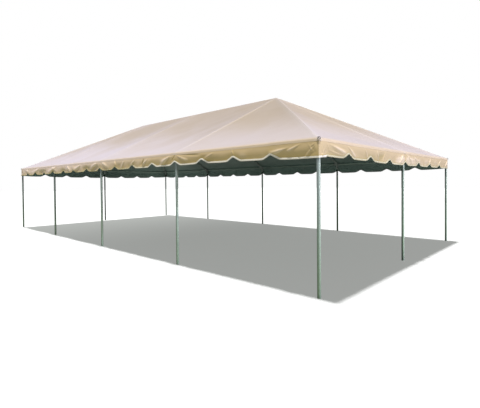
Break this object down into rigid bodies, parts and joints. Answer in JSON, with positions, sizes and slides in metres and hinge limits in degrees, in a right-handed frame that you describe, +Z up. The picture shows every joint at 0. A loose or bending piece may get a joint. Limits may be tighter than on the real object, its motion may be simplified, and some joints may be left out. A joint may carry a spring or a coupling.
{
  "type": "frame marquee",
  "caption": "Open-sided frame marquee with a hipped cloth roof, a scalloped valance and straight tube legs.",
  "frame": {"origin": "on the ground, in the middle of the tent's plan", "axes": "+X along the tent, towards the short side that shows at the right of the picture; -Y towards the long side that shows at its left; +Z up"},
  "size_m": [12.261, 6.165, 3.6272],
  "materials": {
    "galvanised_tube": "galvanised steel tube, satin",
    "galvanised_fitting": "galvanised steel fitting, dull",
    "roof_vinyl": "coated cloth, pale beige and glossy above, dark green below",
    "valance_vinyl": "coated cloth, tan and glossy outside, with a cream binding along its lower edge"
  },
  "bodies": {
    "root": {"leg_front_1": "galvanised_tube", "leg_front_2": "galvanised_tube", "leg_front_3": "galvanised_tube", "leg_front_4": "galvanised_tube", "leg_front_5": "galvanised_tube", "leg_back_1": "galvanised_tube", "leg_back_2": "galvanised_tube", "leg_back_3": "galvanised_tube", "leg_back_4": "galvanised_tube", "leg_back_5": "galvanised_tube", "leg_left_middle": "galvanised_tube", "leg_right_middle": "galvanised_tube", "eave_rail_front": "galvanised_tube", "eave_rail_back": "galvanised_tube", "eave_rail_left": "galvanised_tube", "eave_rail_right": "galvanised_tube", "rafter_front_2": "galvanised_tube", "rafter_front_3": "galvanised_tube", "rafter_front_4": "galvanised_tube", "rafter_back_2": "galvanised_tube", "rafter_back_3": "galvanised_tube", "rafter_back_4": "galvanised_tube", "rafter_left": "galvanised_tube", "rafter_right": "galvanised_tube", "hip_rafter_front_left": "galvanised_tube", "hip_rafter_front_right": "galvanised_tube", "hip_rafter_back_left": "galvanised_tube", "hip_rafter_back_right": "galvanised_tube", "ridge_tube": "galvanised_tube", "tee_fitting_front_2": "galvanised_fitting", "tee_fitting_front_3": "galvanised_fitting", "tee_fitting_front_4": "galvanised_fitting", "tee_fitting_back_2": "galvanised_fitting", "tee_fitting_back_3": "galvanised_fitting", "tee_fitting_back_4": "galvanised_fitting", "tee_fitting_left": "galvanised_fitting", "tee_fitting_right": "galvanised_fitting", "corner_fitting_front_left": "galvanised_fitting", "corner_fitting_front_right": "galvanised_fitting", "corner_fitting_back_right": "galvanised_fitting", "corner_fitting_back_left": "galvanised_fitting", "crown_fitting_left": "galvanised_fitting", "crown_fitting_middle": "galvanised_fitting", "crown_fitting_right": "galvanised_fitting", "roof_slope_front": "roof_vinyl", "roof_slope_back": "roof_vinyl", "roof_hip_left": "roof_vinyl", "roof_hip_right": "roof_vinyl", "valance_front": "valance_vinyl", "valance_back": "valance_vinyl", "valance_left": "valance_vinyl", "valance_right": "valance_vinyl"}
  },
  "joints": []
}
